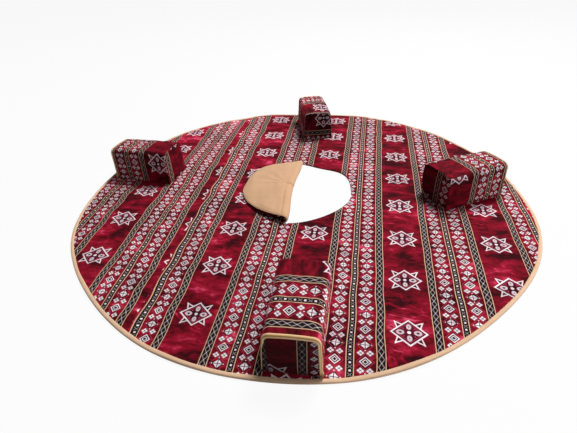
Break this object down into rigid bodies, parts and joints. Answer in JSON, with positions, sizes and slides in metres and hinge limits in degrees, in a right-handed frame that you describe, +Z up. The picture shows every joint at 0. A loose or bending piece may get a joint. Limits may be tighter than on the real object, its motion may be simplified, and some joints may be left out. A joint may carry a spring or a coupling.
{
  "type": "majlis floor sofa",
  "caption": "Round padded floor mat of striped velvet with a folding cover over its centre opening and loose armrest blocks that lift off",
  "frame": {"origin": "middle of the mat's outline on the floor that it lies on", "axes": "+Z up; +Y along the velvet's stripes, away from the front armrest; +X to the right of someone looking along +Y"},
  "size_m": [2.9841, 2.9728, 0.252],
  "materials": {
    "velvet": "crushed velvet pile with woven bands and stars",
    "backing_cloth": "plain tan brushed cloth",
    "binding_tape": "tan bias tape",
    "wadding": "white fibre wadding",
    "foam": "open-cell foam",
    "zip_tape": "tan woven tape",
    "zip_teeth": "nylon coil",
    "zip_metal": "tan lacquer"
  },
  "bodies": {
    "mat": {"mat_velvet_main": "velvet", "mat_velvet_side": "velvet", "mat_wadding": "wadding", "mat_backing": "backing_cloth", "rim_binding": "binding_tape", "opening_edge": "velvet", "lower_crease": "backing_cloth"},
    "cover_spine": {"spine_velvet": "velvet", "spine_wadding": "wadding", "spine_backing": "backing_cloth", "upper_crease": "backing_cloth"},
    "cover_flap": {"flap_velvet": "velvet", "flap_wadding": "wadding", "flap_backing": "backing_cloth", "flap_edge": "velvet"},
    "front_armrest": {"front_foam_block": "foam", "front_body_panel": "velvet", "front_base_panel": "backing_cloth", "front_inner_end_panel": "velvet", "front_outer_end_panel": "velvet", "front_body_zip_tape": "zip_tape", "front_end_zip_tape": "zip_tape", "front_zip_chain": "zip_teeth"},
    "front_slider": {"front_zip_slider": "zip_metal"},
    "front_pull": {"front_zip_pull": "zip_metal"},
    "left_armrest": {"left_foam_block": "foam", "left_body_panel": "velvet", "left_base_panel": "backing_cloth", "left_inner_end_panel": "velvet", "left_outer_end_panel": "velvet", "left_body_zip_tape": "zip_tape", "left_end_zip_tape": "zip_tape", "left_zip_chain": "zip_teeth"},
    "left_slider": {"left_zip_slider": "zip_metal"},
    "left_pull": {"left_zip_pull": "zip_metal"},
    "right_armrest": {"right_foam_block": "foam", "right_body_panel": "velvet", "right_base_panel": "backing_cloth", "right_inner_end_panel": "velvet", "right_outer_end_panel": "velvet", "right_body_zip_tape": "zip_tape", "right_end_zip_tape": "zip_tape", "right_zip_chain": "zip_teeth"},
    "right_slider": {"right_zip_slider": "zip_metal"},
    "right_pull": {"right_zip_pull": "zip_metal"},
    "back_armrest": {"back_foam_block": "foam", "back_body_panel": "velvet", "back_base_panel": "backing_cloth", "back_inner_end_panel": "velvet", "back_outer_end_panel": "velvet", "back_body_zip_tape": "zip_tape", "back_end_zip_tape": "zip_tape", "back_zip_chain": "zip_teeth"},
    "back_slider": {"back_zip_slider": "zip_metal"},
    "back_pull": {"back_zip_pull": "zip_metal"}
  },
  "joints": [
    {"name": "spine_fold", "type": "hinge", "parent": "mat", "child": "cover_spine", "pos_m": [-0.053, 0, 0.012], "axis": [0, 1, 0], "range_deg": [0, 90], "deforming": ["lower_crease"]},
    {"name": "flap_turn", "type": "hinge", "parent": "cover_spine", "child": "cover_flap", "pos_m": [-0.053, 0, 0.054], "axis": [0, 1, 0], "range_deg": [0, 96.65], "deforming": ["upper_crease"]},
    {"name": "front_armrest_lift", "type": "slide", "parent": "mat", "child": "front_armrest", "axis": [0, 0, 1], "range_m": [0, 0.3]},
    {"name": "front_zip_run", "type": "slide", "parent": "front_armrest", "child": "front_slider", "axis": [-0.0562, -0.002, 0.9984], "range_m": [0, 0.17]},
    {"name": "front_pull_swing", "type": "hinge", "parent": "front_slider", "child": "front_pull", "pos_m": [0.28439, -1.44058, 0.03791], "axis": [-0.9978, -0.0348, -0.0562], "range_deg": [0, 170]},
    {"name": "left_armrest_lift", "type": "slide", "parent": "mat", "child": "left_armrest", "axis": [0, 0, 1], "range_m": [0, 0.3]},
    {"name": "left_zip_run", "type": "slide", "parent": "left_armrest", "child": "left_slider", "axis": [0.0059, 0.0559, 0.9984], "range_m": [0, 0.17]},
    {"name": "left_pull_swing", "type": "hinge", "parent": "left_slider", "child": "left_pull", "pos_m": [-1.43242, 0.00994, 0.03791], "axis": [0.1044, 0.993, -0.0562], "range_deg": [0, 170]},
    {"name": "right_armrest_lift", "type": "slide", "parent": "mat", "child": "right_armrest", "axis": [0, 0, 1], "range_m": [0, 0.3]},
    {"name": "right_zip_run", "type": "slide", "parent": "right_armrest", "child": "right_slider", "axis": [0.0289, -0.0482, 0.9984], "range_m": [0, 0.17]},
    {"name": "right_pull_swing", "type": "hinge", "parent": "right_slider", "child": "right_pull", "pos_m": [1.21898, 0.28031, 0.03791], "axis": [0.5142, -0.8558, -0.0562], "range_deg": [0, 170]},
    {"name": "back_armrest_lift", "type": "slide", "parent": "mat", "child": "back_armrest", "axis": [0, 0, 1], "range_m": [0, 0.3]},
    {"name": "back_zip_run", "type": "slide", "parent": "back_armrest", "child": "back_slider", "axis": [0.0543, 0.0145, 0.9984], "range_m": [0, 0.17]},
    {"name": "back_pull_swing", "type": "hinge", "parent": "back_slider", "child": "back_pull", "pos_m": [-0.21005, 1.29676, 0.03791], "axis": [0.9644, 0.2584, -0.0562], "range_deg": [0, 170]}
  ],
  "couplings": [
    {"joint": "spine_fold", "follows": "flap_turn", "ratio": 0.93117}
  ]
}
